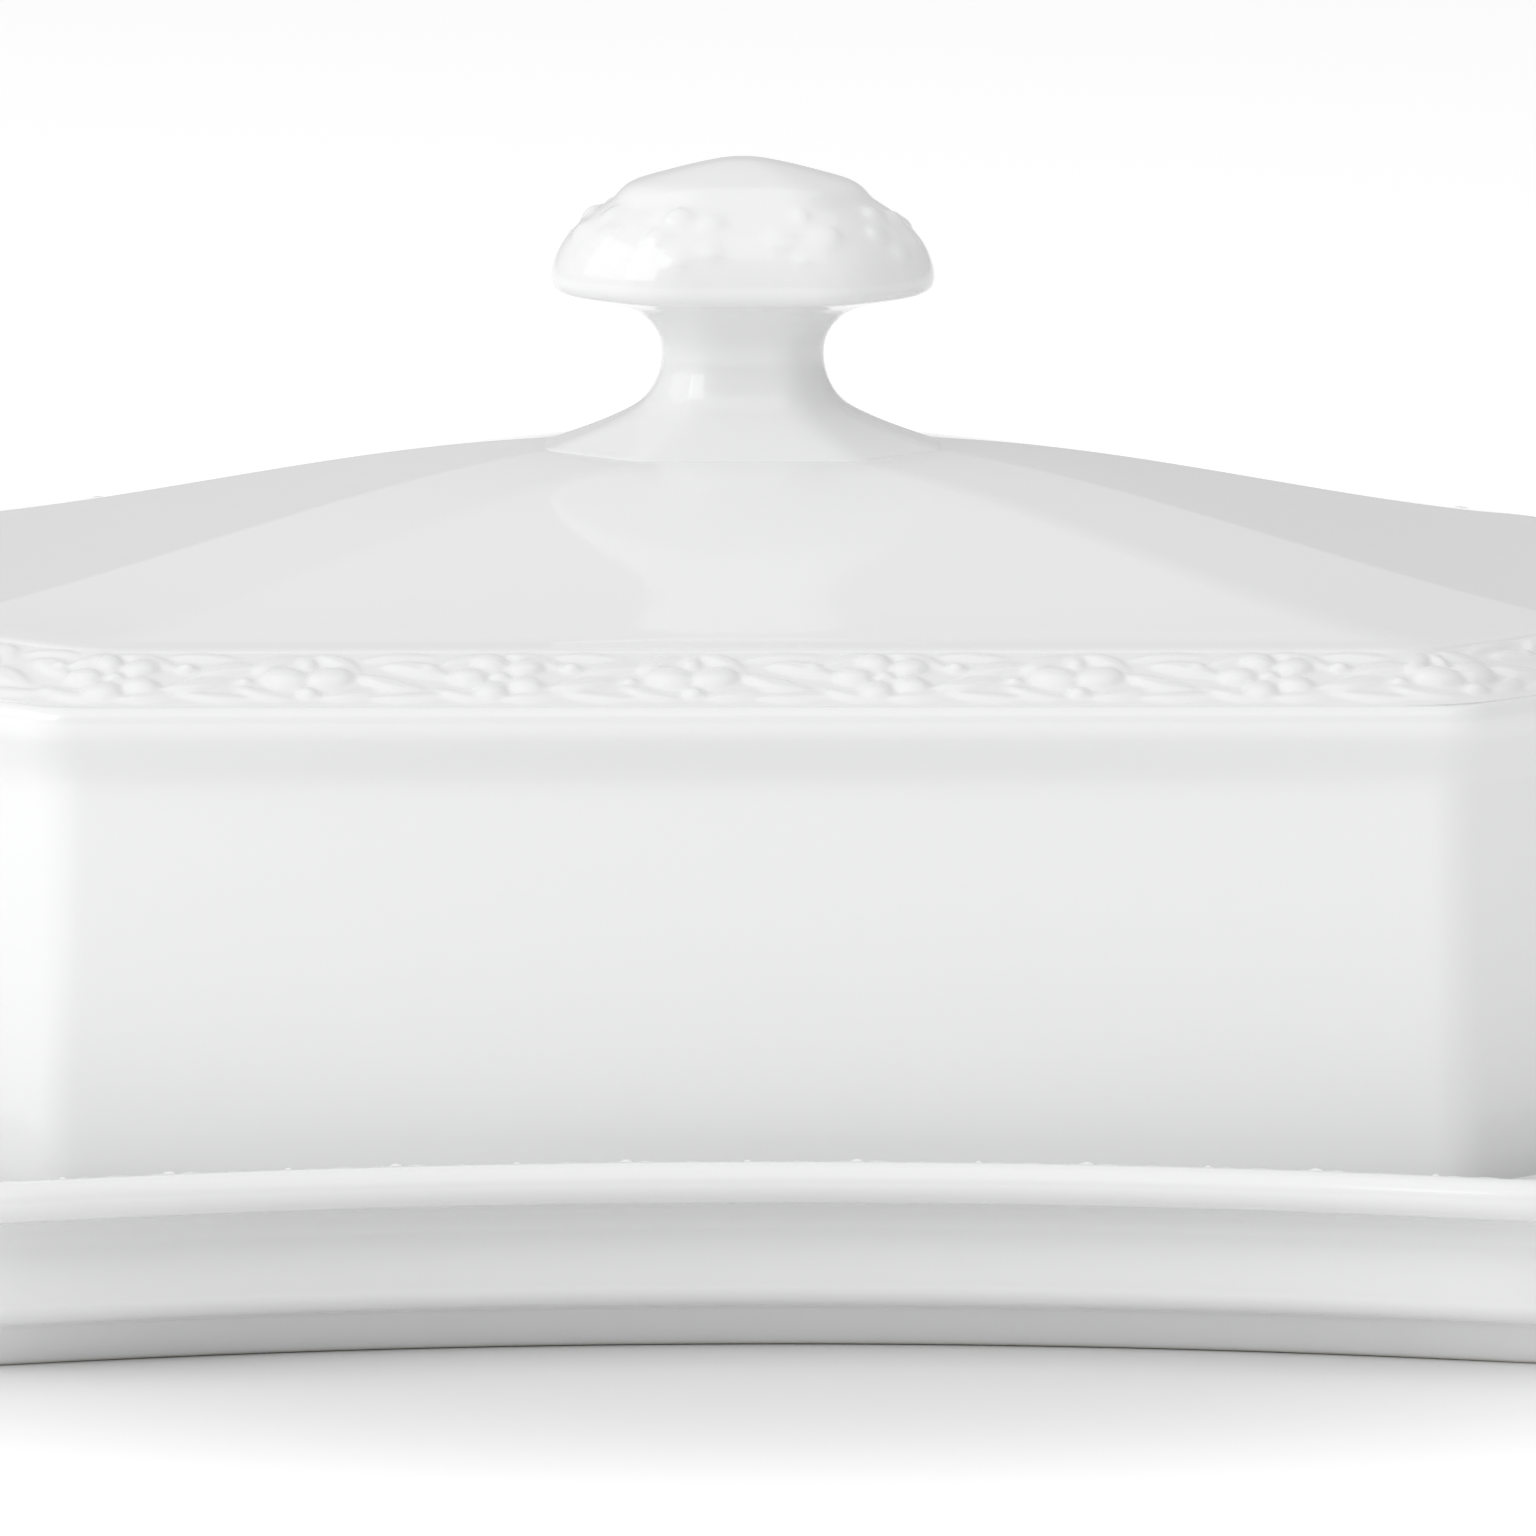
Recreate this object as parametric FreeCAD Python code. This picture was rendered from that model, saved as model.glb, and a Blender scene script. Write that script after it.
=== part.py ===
import FreeCAD, Part

import math
import os

# Covered butter dish in glazed porcelain, in millimetres.
# The origin is the middle of the footprint, +X runs along the long side, -Y is the front and +Z is up.

# Heights above the table
FOOT_TOP = 3.4
FLOOR = 6.8
SEAT = 7.6
FLAG_FOOT = 12.6
RIM_TOP = 15.5
CREASE = 49.5
ROOF_BASE = 52.9
ROOF_TOP = 63.0
KNOB_TOP = 86.2

# Rim of the tray: eight hollow sides between eight rounded points
LONG_WAIST = 69.0
LONG_HOLLOW = 12.3
LONG_POINT = 66.0
END_WAIST = 88.0
END_HOLLOW = 7.0
CANT_HOLLOW = 1.5
POINT_RADIUS = 15.0
SMALLEST_POINT_RADIUS = 4.0

# Tray section, as (distance in from the rim outline, height)
FOOT = [(8.0, 0.0), (6.4, FOOT_TOP)]
ROLL = [(6.4, FOOT_TOP), (4.2, 3.9), (3.2, 5.4)]
COVE = [(3.2, 5.4), (4.6, 8.0), (5.0, 10.0), (4.0, 11.8)]
LIP = [(4.0, 11.8), (0.9, 12.4), (0.0, 13.7)]
CROWN = [(0.0, 13.7), (0.6, 15.0), (1.8, RIM_TOP)]
RELIEF_BAND = [(2.2, RIM_TOP), (8.0, 13.2)]
FOOT_RING_WIDTH = 4.5
RECESS_DEPTH = 3.0
RECESS_SLOPE = 1.5

# Lid plan: half sizes of the octagon, and the leg of its 45 degree cants
WALL_HALF = (75.0, 57.0)
WALL_CANT = 20.0
CORNER_RADIUS = 7.0
ROOF_HALF = (66.0, 48.0)
ROOF_CANT = 14.7
SEAT_GAP = 1.7
FLAG_GAP = 2.6

# Lid wall and bead, as (distance out from the nominal wall face, height)
WALL = [(0.6, SEAT), (-0.4, 22.0), (-1.3, 37.0), (-1.5, 43.6)]
BEAD = [(-1.5, 43.6), (-0.6, 46.5), (0.5, 48.0), (-0.2, CREASE)]

# Lid roof: an ogee that leaves the knob at half of its mean slope and meets the band at 0.7 of it
ROOF_SHARES = [1.0, 0.85, 0.65, 0.45, 0.25, 0.1, 0.0]
SLOPE_AT_KNOB = 0.5
SLOPE_AT_BAND = 0.7

# Lid thicknesses
WALL_THICKNESS = 4.0
ROOF_THICKNESS = 4.5

# Knob section, as (half width, height); it is shallower than it is wide
PAD = [(15.9, ROOF_TOP), (15.9, 63.7), (14.6, 64.6)]
NECK = [(14.6, 64.6), (9.9, 65.9), (7.5, 67.9), (6.45, 70.5), (7.3, 72.7), (9.5, 74.2)]
UNDERSIDE = [(9.5, 74.2), (14.1, 75.2)]
CAP = [(14.1, 75.2), (15.3, 76.8), (14.3, 79.6), (11.9, 82.0), (10.2, 83.4)]
DOME = [(10.2, 83.4), (7.25, 84.9), (4.3, 85.8), (1.6, KNOB_TOP)]
KNOB_SQUASH = 0.62
KNOB_DEEPEN = 1.2
KNOB_CANT = 0.44
KNOB_ROUNDING = 0.22


def vector(x, y, z):
    return FreeCAD.Vector(x, y, z)


def grow(half, by):
    return half[0] + by, half[1] + by


def arc(start, middle, end):
    return Part.Arc(start, middle, end).toShape()


def eight_points(end, side, z):
    """Eight points, counter-clockwise, from the upper point of the right-hand end and of the back side."""
    (end_x, end_y), (side_x, side_y) = end, side
    upper = [(end_x, end_y), (side_x, side_y), (-side_x, side_y), (-end_x, end_y)]
    lower = [(-x, -y) for x, y in upper]
    return [vector(x, y, z) for x, y in upper + lower]


def octagon(half, cant, radius, z):
    """Straight-sided octagon with 45 degree cants and rounded corners, as a closed wire at height z."""
    half_x, half_y = half
    points = eight_points((half_x, half_y - cant), (half_x - cant, half_y), z)
    half_turn = math.radians(22.5)
    trim = radius * math.tan(half_turn)
    cut = radius / math.cos(half_turn) - radius
    rounded = []
    for index, corner in enumerate(points):
        before = (points[index - 1] - corner).normalize()
        after = (points[(index + 1) % 8] - corner).normalize()
        inward = (before + after).normalize()
        rounded.append((corner + before * trim, corner + inward * cut, corner + after * trim))
    edges = []
    for index, (start, middle, end) in enumerate(rounded):
        edges.append(arc(start, middle, end))
        edges.append(Part.LineSegment(end, rounded[(index + 1) % 8][0]).toShape())
    return Part.Wire(edges)


def hollow_side(start, end, hollow):
    """Centre and radius of the circle that a hollow side between two points follows."""
    chord = end - start
    half = chord.Length / 2
    radius = (half * half + hollow * hollow) / (2 * hollow)
    outward = vector(chord.y, -chord.x, 0).normalize()
    return (start + end) * 0.5 + outward * (radius - hollow), radius


def tray_sides():
    """The eight sharp points of the rim, and the circle of the side that starts at each."""
    side_y = LONG_WAIST + LONG_HOLLOW
    end_x = END_WAIST + END_HOLLOW
    end_y = side_y - (end_x - LONG_POINT)
    points = eight_points((end_x, end_y), (LONG_POINT, side_y), 0)
    hollows = [CANT_HOLLOW, LONG_HOLLOW, CANT_HOLLOW, END_HOLLOW] * 2
    sides = []
    for index, start in enumerate(points):
        sides.append(hollow_side(start, points[(index + 1) % 8], hollows[index]))
    return points, sides


def rounded_point(corner, side_in, side_out, inset):
    """Start, middle and end of the arc that rounds a point of the tray, tangent to both hollow sides."""
    round_radius = max(POINT_RADIUS - inset, SMALLEST_POINT_RADIUS)
    (centre_in, radius_in), (centre_out, radius_out) = side_in, side_out
    reach_in = radius_in + inset + round_radius
    reach_out = radius_out + inset + round_radius
    between = centre_out - centre_in
    span = between.Length
    along = (reach_in ** 2 - reach_out ** 2 + span ** 2) / (2 * span)
    across = math.sqrt(reach_in ** 2 - along ** 2)
    unit = between.normalize()
    normal = vector(-unit.y, unit.x, 0)
    foot = centre_in + unit * along
    options = [foot + normal * across, foot - normal * across]
    centre = min(options, key=lambda option: (option - corner).Length)
    start = centre + (centre_in - centre).normalize() * round_radius
    end = centre + (centre_out - centre).normalize() * round_radius
    middle = centre + ((start + end) * 0.5 - centre).normalize() * round_radius
    return start, middle, end


def tray_outline(inset, z):
    """Rim outline of the tray set in by a distance, as a closed wire at height z."""
    corners, sides = tray_sides()
    lift = vector(0, 0, z)
    rounded = []
    for index, corner in enumerate(corners):
        rounded.append(rounded_point(corner, sides[index - 1], sides[index], inset))
    edges = []
    for index, (start, middle, end) in enumerate(rounded):
        centre, radius = sides[index]
        after = rounded[(index + 1) % 8][0]
        waist = centre + ((end + after) * 0.5 - centre).normalize() * (radius + inset)
        edges.append(arc(start + lift, middle + lift, end + lift))
        edges.append(arc(end + lift, waist + lift, after + lift))
    return Part.Wire(edges)


def stack(stages):
    """Solid made of lofts that stand on each other, each given as its wires and whether it is straight."""
    solids = [Part.makeLoft(wires, True, straight) for wires, straight in stages]
    return solids[0].multiFuse(solids[1:]).removeSplitter()


def tray_body():
    """Outside of the tray: leaning foot, coved body that rolls under, and the rounded lip."""
    stages = []
    for section in (FOOT, ROLL, COVE, LIP, CROWN):
        stages.append(([tray_outline(inset, z) for inset, z in section], section is FOOT))
    return stack(stages)


def tray_hollow():
    """Space above the tray: relief band, flat flag, well wall, lid seat and the lower butter floor."""
    well = grow(WALL_HALF, SEAT_GAP)
    seat_edge = octagon(well, WALL_CANT + 1.0, CORNER_RADIUS + 2.0, SEAT)
    flag_foot = octagon(grow(WALL_HALF, FLAG_GAP), WALL_CANT + 1.5, CORNER_RADIUS + 2.6, FLAG_FOOT)
    floor_half = grow(WALL_HALF, -WALL_THICKNESS - 2.5)
    floor_low = octagon(floor_half, WALL_CANT - 2.5, CORNER_RADIUS, FLOOR)
    floor_high = octagon(grow(floor_half, 1.0), WALL_CANT - 2.0, CORNER_RADIUS, SEAT)
    band_top, band_foot = [tray_outline(inset, z) for inset, z in RELIEF_BAND]
    stages = [[floor_low, floor_high], [seat_edge, flag_foot], [flag_foot, band_foot], [band_foot, band_top]]
    return stack([(wires, True) for wires in stages])


def foot_recess():
    """Shallow hollow under the tray that leaves the foot ring standing."""
    low_inset = FOOT[0][0] + FOOT_RING_WIDTH
    low = tray_outline(low_inset, 0.0)
    high = tray_outline(low_inset + RECESS_SLOPE, RECESS_DEPTH)
    return stack([([low, high], True)])


def base_dish():
    return tray_body().cut(tray_hollow()).cut(foot_recess())


def wall_section(out, z):
    """Lid wall outline at a height, moved out from its nominal face."""
    return octagon(grow(WALL_HALF, out), WALL_CANT, CORNER_RADIUS, z)


def knob_depth(width):
    return KNOB_SQUASH * width + KNOB_DEEPEN


def roof_section(share, z, inset=0.0):
    """Roof outline at a share of the way from the knob's pad, 0, down to the relief band, 1."""
    pad_x = PAD[0][0]
    pad_y = knob_depth(pad_x)
    half_x = pad_x + share * (ROOF_HALF[0] - pad_x) - inset
    half_y = pad_y + share * (ROOF_HALF[1] - pad_y) - inset
    pad_cant = KNOB_CANT * pad_x
    cant = pad_cant + share * (ROOF_CANT - pad_cant) - inset * 0.4
    radius = KNOB_ROUNDING * pad_x + share * 0.5
    return octagon((half_x, half_y), cant, radius, z)


def roof_height(share):
    """Height of the roof's ogee at a share of the way from the pad down to the band."""
    leaving = SLOPE_AT_KNOB * (share ** 3 - 2 * share ** 2 + share)
    meeting = SLOPE_AT_BAND * (share ** 3 - share ** 2)
    drop = leaving + 3 * share ** 2 - 2 * share ** 3 + meeting
    return ROOF_TOP - (ROOF_TOP - ROOF_BASE) * drop


def lid_outside():
    """Outside of the lid: flared wall, bead, sloping relief band and hipped ogee roof."""
    wall = [wall_section(out, z) for out, z in WALL]
    bead = [wall_section(out, z) for out, z in BEAD]
    band = [bead[-1], roof_section(1.0, ROOF_BASE)]
    roof = [roof_section(share, roof_height(share)) for share in ROOF_SHARES]
    return stack([(wall, False), (bead, False), (band, True), (roof, False)])


def lid_inside():
    """Butter space under the lid, one wall thickness inside it."""
    cant = WALL_CANT - 1.7
    radius = CORNER_RADIUS - 3.0
    foot = octagon(grow(WALL_HALF, -WALL_THICKNESS), cant, radius, SEAT)
    shoulder = octagon(grow(WALL_HALF, -WALL_THICKNESS - 1.2), cant, radius, CREASE - 3.6)
    edge = octagon(grow(ROOF_HALF, -1.5), ROOF_CANT, radius, ROOF_BASE - 4.3)
    crown = roof_section(0.0, ROOF_TOP - ROOF_THICKNESS, 1.5)
    return stack([([foot, shoulder], True), ([shoulder, edge], True), ([edge, crown], True)])


def lid_shell():
    return lid_outside().cut(lid_inside())


def knob_section(width, z):
    """Octagonal knob section of a given half width."""
    return octagon((width, knob_depth(width)), KNOB_CANT * width, KNOB_ROUNDING * width, z)


def lid_knob():
    """Knob: low pad, waisted neck, and a cap that flares, rounds over and closes in a low dome."""
    stages = []
    for section in (PAD, NECK, UNDERSIDE, CAP, DOME):
        stages.append(([knob_section(width, z) for width, z in section], section is UNDERSIDE))
    return stack(stages)


def main():
    os.makedirs("parts", exist_ok=True)
    nodes = {"base_dish": base_dish(), "lid_shell": lid_shell(), "lid_knob": lid_knob()}
    for name, shape in nodes.items():
        solid = shape.Solids[0]
        box = solid.BoundBox
        print(name, "solids", len(shape.Solids), "valid", solid.isValid(), "volume", round(solid.Volume),
              "size", round(box.XLength, 1), round(box.YLength, 1), round(box.ZLength, 1))
        solid.exportStep(os.path.join("parts", name + ".step"))


main()
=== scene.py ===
"""Covered butter dish in white glazed porcelain.

The tray, the lid and the knob are drawn out ring by ring from the sizes in their classes. The fruit and
flower relief is modelled once as a flat mould, pressed into a sheet, and bent round the lid and the tray.
Sizes are in millimetres where a docstring doesn't say otherwise.
"""
import logging
import math
from dataclasses import dataclass, field
from enum import Enum
from typing import Any, Callable, Iterable

import bmesh
import bpy
from mathutils import Matrix, Vector


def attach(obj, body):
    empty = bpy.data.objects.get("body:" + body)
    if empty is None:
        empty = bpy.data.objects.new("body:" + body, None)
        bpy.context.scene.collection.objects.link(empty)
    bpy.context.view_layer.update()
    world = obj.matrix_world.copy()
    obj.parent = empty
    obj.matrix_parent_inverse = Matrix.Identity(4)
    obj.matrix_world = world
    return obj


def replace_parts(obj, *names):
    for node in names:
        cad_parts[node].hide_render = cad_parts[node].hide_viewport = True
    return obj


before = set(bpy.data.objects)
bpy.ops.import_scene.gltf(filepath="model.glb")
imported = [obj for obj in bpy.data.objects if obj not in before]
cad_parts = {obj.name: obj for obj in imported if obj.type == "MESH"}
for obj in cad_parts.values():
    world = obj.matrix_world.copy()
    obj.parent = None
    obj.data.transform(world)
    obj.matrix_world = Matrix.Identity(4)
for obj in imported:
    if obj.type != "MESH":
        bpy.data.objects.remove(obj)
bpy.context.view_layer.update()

LOG = logging.getLogger("butter_dish")
MM = 0.001

Ring = list[Vector]
Profile = list[tuple[float, float]]


class Body(Enum):
    """The two bodies that move apart."""

    BASE = "base"
    LID = "lid"


# ------------------------------------------------------------------------------------------
# Outlines and sections
# ------------------------------------------------------------------------------------------

CORNER_POINTS = 6
SIDE_POINTS = (2, 11, 2, 9, 2, 11, 2, 9)
SMALLEST_CANT = 0.5


def arc_between(centre: Vector, start: Vector, end: Vector, count: int) -> Ring:
    """Points along the shorter arc from one point to another.

    Args:
        centre: Centre of the arc.
        start: First point, included.
        end: Last point, included.
        count: Number of points.

    Returns:
        The points in order.
    """
    first = start - centre
    turn = first.to_2d().angle_signed((end - centre).to_2d(), 0.0)
    points = []
    for step in range(count):
        points.append(centre + Matrix.Rotation(-turn * step / (count - 1), 3, "Z") @ first)
    return points


def eight_points(end: tuple[float, float], side: tuple[float, float]) -> Ring:
    """Eight points, counter-clockwise, from the back of the right-hand end."""
    upper = [end, side, (-side[0], side[1]), (-end[0], end[1])]
    return [Vector((x, y, 0.0)) for x, y in upper + [(-x, -y) for x, y in upper]]


@dataclass(frozen=True)
class CantedOutline:
    """Straight-sided octagon with 45 degree cants and rounded corners.

    The corners beside the long sides and those beside the ends each have their own radius.
    """

    half_x: float
    half_y: float
    cant: float
    side_radius: float
    end_radius: float

    def grown(self, by: float) -> "CantedOutline":
        """The same outline moved out on every side, cants included."""
        cant = max(self.cant + by * (2.0 - math.sqrt(2.0)), SMALLEST_CANT)
        return CantedOutline(self.half_x + by, self.half_y + by, cant, self.side_radius, self.end_radius)

    def blended(self, other: "CantedOutline", share: float) -> "CantedOutline":
        """An outline part of the way to another one."""
        mine = (self.half_x, self.half_y, self.cant, self.side_radius, self.end_radius)
        theirs = (other.half_x, other.half_y, other.cant, other.side_radius, other.end_radius)
        return CantedOutline(*[a + (b - a) * share for a, b in zip(mine, theirs)])

    def ring(self, height: float) -> Ring:
        """Points round the outline.

        Args:
            height: Height of the ring.

        Returns:
            The points, counter-clockwise.
        """
        corners = eight_points((self.half_x, self.half_y - self.cant), (self.half_x - self.cant, self.half_y))
        half_turn = math.radians(22.5)
        rounded = []
        for index, corner in enumerate(corners):
            radius = self.side_radius if index % 4 in (1, 2) else self.end_radius
            before = (corners[index - 1] - corner).normalized()
            after = (corners[(index + 1) % 8] - corner).normalized()
            trim = radius * math.tan(half_turn)
            centre = corner + (before + after).normalized() * radius / math.cos(half_turn)
            rounded.append(arc_between(centre, corner + before * trim, corner + after * trim, CORNER_POINTS))
        ring = []
        for index, arc in enumerate(rounded):
            following = rounded[(index + 1) % 8][0]
            ring += arc
            ring += [arc[-1].lerp(following, (step + 1) / (SIDE_POINTS[index] + 1))
                     for step in range(SIDE_POINTS[index])]
        return [point + Vector((0.0, 0.0, height)) for point in ring]


@dataclass(frozen=True)
class HollowOutline:
    """Rim outline of the tray: eight sides that curve inwards between eight rounded points."""

    long_waist: float = 69.0
    long_hollow: float = 12.3
    long_point: float = 66.0
    end_waist: float = 88.0
    end_hollow: float = 7.0
    cant_hollow: float = 1.5
    point_radius: float = 15.0
    smallest_radius: float = 4.0

    def circles(self) -> tuple[Ring, list[tuple[Vector, float]]]:
        """The eight sharp points, and the centre and radius of the side that starts at each."""
        side_y = self.long_waist + self.long_hollow
        end_x = self.end_waist + self.end_hollow
        points = eight_points((end_x, side_y - (end_x - self.long_point)), (self.long_point, side_y))
        circles = []
        hollows = [self.cant_hollow, self.long_hollow, self.cant_hollow, self.end_hollow] * 2
        for index, hollow in enumerate(hollows):
            start, end = points[index], points[(index + 1) % 8]
            chord = end - start
            radius = (chord.length_squared / 4 + hollow * hollow) / (2 * hollow)
            outward = Vector((chord.y, -chord.x, 0.0)).normalized()
            circles.append(((start + end) / 2 + outward * (radius - hollow), radius))
        return points, circles

    def ring(self, inset: float, height: float) -> Ring:
        """Points round the outline, set in from the rim.

        Args:
            inset: Distance in from the rim.
            height: Height of the ring.

        Returns:
            The points, counter-clockwise.
        """
        points, circles = self.circles()
        radius = max(self.point_radius - inset, self.smallest_radius)
        rounded = []
        for index, corner in enumerate(points):
            (centre_in, radius_in), (centre_out, radius_out) = circles[index - 1], circles[index]
            reach_in = radius_in + inset + radius
            reach_out = radius_out + inset + radius
            span = (centre_out - centre_in).length
            unit = (centre_out - centre_in) / span
            onward = (reach_in ** 2 - reach_out ** 2 + span ** 2) / (2 * span)
            across = Vector((-unit.y, unit.x, 0.0)) * math.sqrt(reach_in ** 2 - onward ** 2)
            foot = centre_in + unit * onward
            centre = min((foot + across, foot - across), key=lambda option: (option - corner).length)
            start = centre + (centre_in - centre).normalized() * radius
            end = centre + (centre_out - centre).normalized() * radius
            rounded.append(arc_between(centre, start, end, CORNER_POINTS))
        ring = []
        for index, arc in enumerate(rounded):
            following = rounded[(index + 1) % 8][0]
            ring += arc
            ring += arc_between(circles[index][0], arc[-1], following, SIDE_POINTS[index] + 2)[1:-1]
        return [point + Vector((0.0, 0.0, height)) for point in ring]


def runs(path: Ring) -> list[float]:
    """Length of the run after each point of a closed path."""
    return [(after - point).length for point, after in zip(path, path[1:] + path[:1])]


def spot_on(path: Ring, distance: float) -> tuple[Vector, Vector]:
    """The point at a distance along a closed path, and the way the path runs there.

    Args:
        path: The path's points.
        distance: Distance from the first point.

    Returns:
        The point and the unit tangent.
    """
    for index, length in enumerate(runs(path)):
        if distance <= length:
            break
        distance -= length
    step = path[(index + 1) % len(path)] - path[index]
    return path[index] + step * min(distance / length, 1.0), step.normalized()


def from_front(path: Ring) -> Ring:
    """The same closed path, started at the middle of its front."""
    middle = min((spot for spot in path if spot.y < 0.0), key=lambda spot: abs(spot.x))
    start = path.index(middle)
    return path[start:] + path[:start]


def evenly(path: Ring, spacing: float) -> Ring:
    """The same closed path with its points a nearly even distance apart."""
    total = sum(runs(path))
    count = round(total / spacing)
    return [spot_on(path, total * step / count)[0] for step in range(count)]


def softened(points: Profile, steps: int) -> Profile:
    """A smooth curve through the points of a profile.

    Args:
        points: The points that the curve goes through.
        steps: Number of steps from each point to the next.

    Returns:
        The denser profile, with its first and last points unchanged.
    """
    padded = [points[0], *points, points[-1]]
    dense = [points[0]]
    for index in range(1, len(padded) - 2):
        p0, p1, p2, p3 = (Vector(padded[index + shift]) for shift in (-1, 0, 1, 2))
        for step in range(1, steps + 1):
            t = step / steps
            square = 2 * p0 - 5 * p1 + 4 * p2 - p3
            cube = 3 * p1 - p0 - 3 * p2 + p3
            bend = (p2 - p0) * t + square * t * t + cube * t ** 3
            dense.append(tuple(p1 + bend / 2))
    return dense


# ------------------------------------------------------------------------------------------
# Mesh work
# ------------------------------------------------------------------------------------------


def only(thing: bpy.types.Object) -> bpy.types.Object:
    """Makes an object the one that is selected and active."""
    bpy.ops.object.select_all(action="DESELECT")
    thing.select_set(True)
    bpy.context.view_layer.objects.active = thing
    return thing


def added(operator: Callable[..., Any], name: str, **sizes: Any) -> bpy.types.Object:
    """Adds a primitive by its operator and names it."""
    bpy.ops.object.select_all(action="DESELECT")
    operator(**sizes)
    thing = bpy.context.active_object
    thing.name = name
    thing.data.name = name
    return thing


def finished(thing: bpy.types.Object, kind: str, **settings: Any) -> bpy.types.Object:
    """Adds a modifier to an object, applies it and returns the object."""
    only(thing)
    modifier = thing.modifiers.new(kind.lower(), kind)
    for key, value in settings.items():
        setattr(modifier, key, value)
    bpy.ops.object.modifier_apply(modifier=modifier.name)
    return thing


def settled(thing: bpy.types.Object) -> bpy.types.Object:
    """Moves an object's place, turn and scale into its mesh."""
    only(thing)
    bpy.ops.object.transform_apply(location=True, rotation=True, scale=True)
    return thing


def joined(name: str, things: Iterable[bpy.types.Object]) -> bpy.types.Object:
    """Joins objects into one mesh."""
    things = list(things)
    only(things[0])
    for thing in things:
        thing.select_set(True)
    bpy.ops.object.join()
    things[0].name = name
    things[0].data.name = name
    return things[0]


def copied(thing: bpy.types.Object, name: str) -> bpy.types.Object:
    """A copy of an object with its own mesh."""
    only(thing)
    bpy.ops.object.duplicate()
    copy = bpy.context.active_object
    copy.name = name
    copy.data.name = name
    return copy


def removed(thing: bpy.types.Object) -> None:
    """Deletes an object that has done its work."""
    only(thing)
    bpy.ops.object.delete()


def drawn_out(name: str, rings: list[Ring], rounding: int) -> bpy.types.Object:
    """Closed porcelain shell, extruded ring by ring from the middle of one face to the middle of the other.

    Args:
        name: Name of the piece.
        rings: The rings in order; all have the same number of points.
        rounding: Levels of subdivision that round the shell over.

    Returns:
        The shell.
    """
    shell = added(bpy.ops.mesh.primitive_circle_add, name, vertices=len(rings[0]), fill_type="NGON")
    bpy.ops.object.mode_set(mode="EDIT")
    bpy.ops.mesh.select_all(action="SELECT")
    for index, ring in enumerate(rings):
        if index:
            bpy.ops.mesh.extrude_region_move()
        mesh = bmesh.from_edit_mesh(shell.data)
        face = next(face for face in mesh.faces if face.select)
        for vertex, point in zip(face.verts, ring):
            vertex.co = point * MM
        bmesh.update_edit_mesh(shell.data)
    bpy.ops.mesh.select_all(action="SELECT")
    bpy.ops.mesh.normals_make_consistent(inside=False)
    bpy.ops.object.mode_set(mode="OBJECT")
    finished(shell, "SUBSURF", levels=rounding, render_levels=rounding)
    bpy.ops.object.shade_smooth()
    return shell


# ------------------------------------------------------------------------------------------
# Finishes
# ------------------------------------------------------------------------------------------


class Signal:
    """A value socket that takes part in Python sums."""

    def __init__(self, graph: "Graph", socket: bpy.types.NodeSocket) -> None:
        """Holds the socket and the graph that it is in."""
        self.graph = graph
        self.socket = socket

    def _sum(self, operation: str, first: Any, second: Any) -> "Signal":
        """Adds a Math node for one operation."""
        return self.graph.node("ShaderNodeMath", {"operation": operation}, {0: first, 1: second})

    def __add__(self, other: Any) -> "Signal":
        """Sum."""
        return self._sum("ADD", self, other)

    def __sub__(self, other: Any) -> "Signal":
        """Difference."""
        return self._sum("SUBTRACT", self, other)

    def __rsub__(self, other: Any) -> "Signal":
        """Difference from a number."""
        return self._sum("SUBTRACT", other, self)

    def __mul__(self, other: Any) -> "Signal":
        """Product."""
        return self._sum("MULTIPLY", self, other)

    __radd__ = __add__
    __rmul__ = __mul__


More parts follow.
